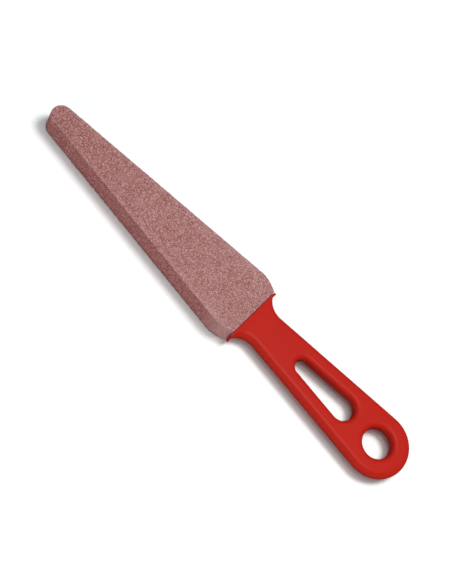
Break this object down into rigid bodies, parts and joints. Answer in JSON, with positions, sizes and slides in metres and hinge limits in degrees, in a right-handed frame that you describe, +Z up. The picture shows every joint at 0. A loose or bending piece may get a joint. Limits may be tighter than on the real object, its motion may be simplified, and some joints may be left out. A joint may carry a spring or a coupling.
{
  "type": "hand knife sharpener",
  "caption": "Flat tapered abrasive stone glued on the tongue of a moulded plastic handle with a tapered slot and a round hanging hole.",
  "frame": {"origin": "on the stone's back face, which the sharpener rests on, under the middle of the whole length", "axes": "+X from the stone's tip to the handle's end, +Y across the width, +Z up, out of the stone's front face"},
  "size_m": [0.27, 0.0406, 0.015],
  "materials": {
    "abrasive": "coarse bonded grain, matt",
    "handle_plastic": "satin moulded",
    "adhesive": "matt"
  },
  "bodies": {
    "root": {"abrasive_stone": "abrasive", "handle": "handle_plastic", "adhesive": "adhesive"}
  },
  "joints": []
}
